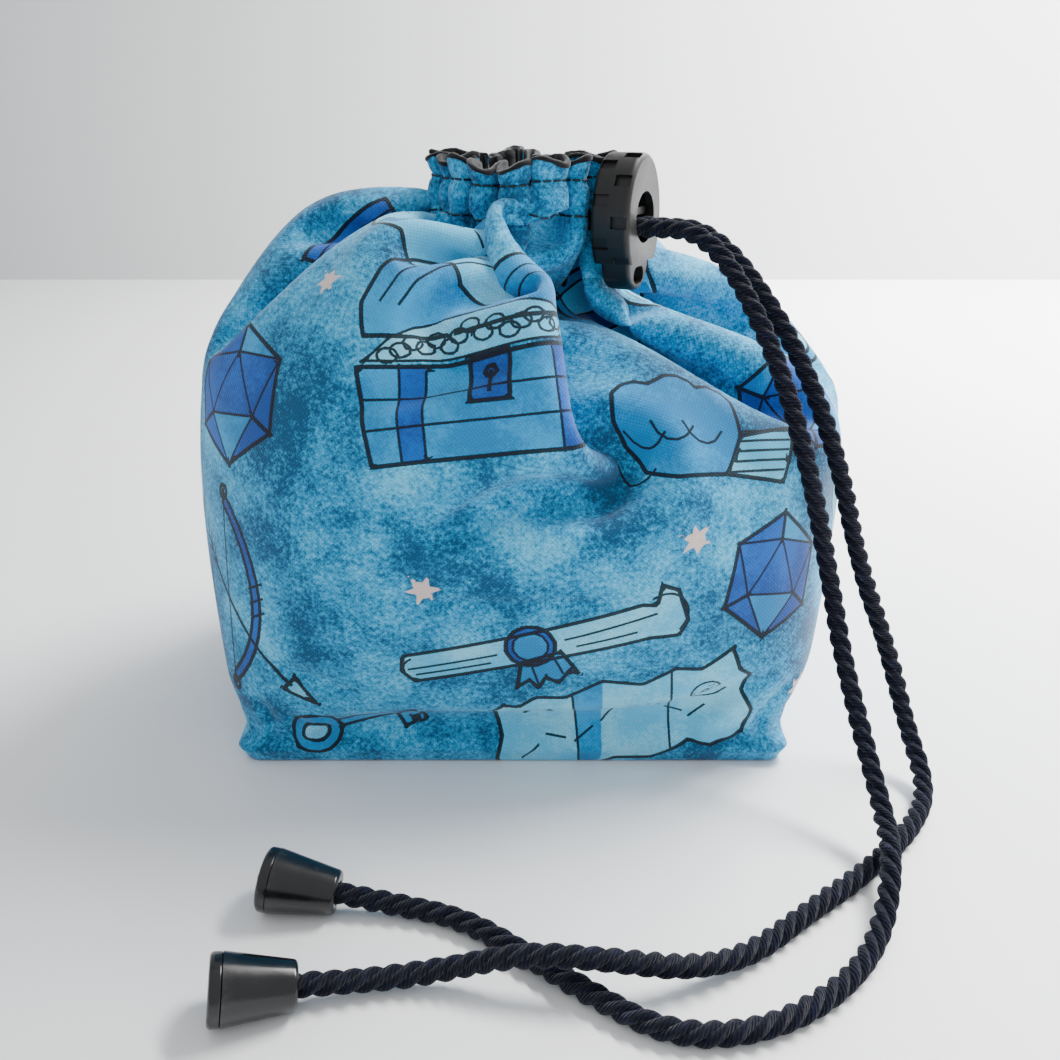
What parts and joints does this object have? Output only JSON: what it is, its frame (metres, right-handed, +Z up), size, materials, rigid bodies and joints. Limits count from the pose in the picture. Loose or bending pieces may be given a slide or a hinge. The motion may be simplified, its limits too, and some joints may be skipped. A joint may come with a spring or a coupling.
{
  "type": "drawstring dice bag",
  "caption": "Lined drawstring pouch with a boxed bottom, a gathered neck, a twisted cord with a spring cord lock, and conical bell cord ends.",
  "frame": {"origin": "centre of the bag's box in plan, on the surface it stands on", "axes": "+X along the bag's long side, -Y its front, +Z up; the cord lock sits on the neck at the front right, and the cord tails lie on the table in front"},
  "size_m": [0.1752, 0.1882, 0.1325],
  "materials": {
    "printed_cotton": "printed plain-weave quilting cotton, matte",
    "lining_cotton": "black plain-weave cotton, matte",
    "thread": "black sewing thread",
    "cord": "navy three-strand twisted cotton cord, slightly fuzzy",
    "lock_plastic": "black moulded plastic, satin matte",
    "bell_plastic": "black moulded plastic, semi-gloss",
    "spring_steel": "bright spring wire"
  },
  "bodies": {
    "bag": {"outer_front_panel": "printed_cotton", "outer_back_panel": "printed_cotton", "lining_front_panel": "lining_cotton", "lining_back_panel": "lining_cotton", "side_seam_left": "lining_cotton", "side_seam_right": "lining_cotton", "base_seam": "lining_cotton", "corner_seam_left": "lining_cotton", "corner_seam_right": "lining_cotton", "casing_stitch_upper": "thread", "casing_stitch_lower": "thread", "cord_exit_bartacks": "thread", "drawcord_ring": "cord", "drawcord_tail_a": "cord", "drawcord_tail_b": "cord", "cord_end_bell_a": "bell_plastic", "cord_end_cap_a": "bell_plastic", "cord_knot_a": "cord", "cord_end_bell_b": "bell_plastic", "cord_end_cap_b": "bell_plastic", "cord_knot_b": "cord"},
    "lock": {"lock_body": "lock_plastic", "lock_spring": "spring_steel"},
    "plunger": {"lock_plunger": "lock_plastic"}
  },
  "joints": [
    {"name": "lock_slide", "type": "slide", "parent": "bag", "child": "lock", "axis": [0.8988, -0.4384, 0], "range_m": [0, 0.004]},
    {"name": "plunger_press", "type": "slide", "parent": "lock", "child": "plunger", "axis": [0, 0, 1], "range_m": [0, 0.0035], "stiffness_N_per_m": 900, "springref_m": -0.003, "deforming": ["lock_spring"]}
  ]
}
